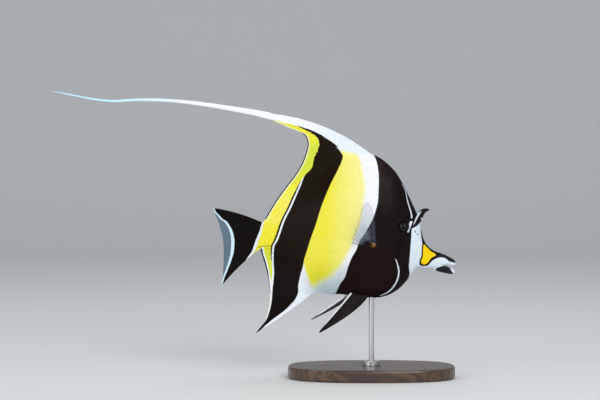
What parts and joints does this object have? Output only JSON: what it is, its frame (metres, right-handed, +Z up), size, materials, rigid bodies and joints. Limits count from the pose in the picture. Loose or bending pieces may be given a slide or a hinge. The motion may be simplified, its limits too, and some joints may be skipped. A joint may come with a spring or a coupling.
{
  "type": "moorish idol fish model",
  "caption": "Still, life-size moorish idol fish with a trailing dorsal streamer, swimming, held by one rod over a flat display stand.",
  "frame": {"origin": "middle of the stand's underside, straight under the rod", "axes": "+X towards the fish's mouth, +Y to the fish's left side, +Z up"},
  "size_m": [0.2984, 0.078, 0.2123],
  "materials": {
    "skin_dark": "satin",
    "skin_yellow": "satin",
    "skin_white": "satin",
    "fin_dark": "satin",
    "fin_white": "satin",
    "fin_yellow": "satin",
    "fin_clear": "satin",
    "eye": "gloss",
    "stand_wood": "satin",
    "stand_steel": "brushed"
  },
  "bodies": {
    "root": {"snout": "skin_white", "lower_jaw": "skin_dark", "head": "skin_dark", "gill_cover_right": "skin_dark", "gill_cover_left": "skin_dark", "trunk": "skin_yellow", "tail_stalk": "skin_yellow", "eye_right": "eye", "eye_left": "eye", "horn_right": "skin_dark", "horn_left": "skin_dark", "dorsal_fin_front": "fin_white", "dorsal_fin_rear": "fin_yellow", "dorsal_streamer_1": "fin_white", "dorsal_streamer_2": "fin_white", "dorsal_streamer_3": "fin_white", "anal_fin": "fin_dark", "tail_fin": "fin_dark", "pectoral_fin_right": "fin_clear", "pectoral_fin_left": "fin_clear", "pelvic_fin_right": "fin_dark", "pelvic_fin_left": "fin_dark", "stand_base": "stand_wood", "stand_rod": "stand_steel", "stand_collar": "stand_steel"}
  },
  "joints": []
}
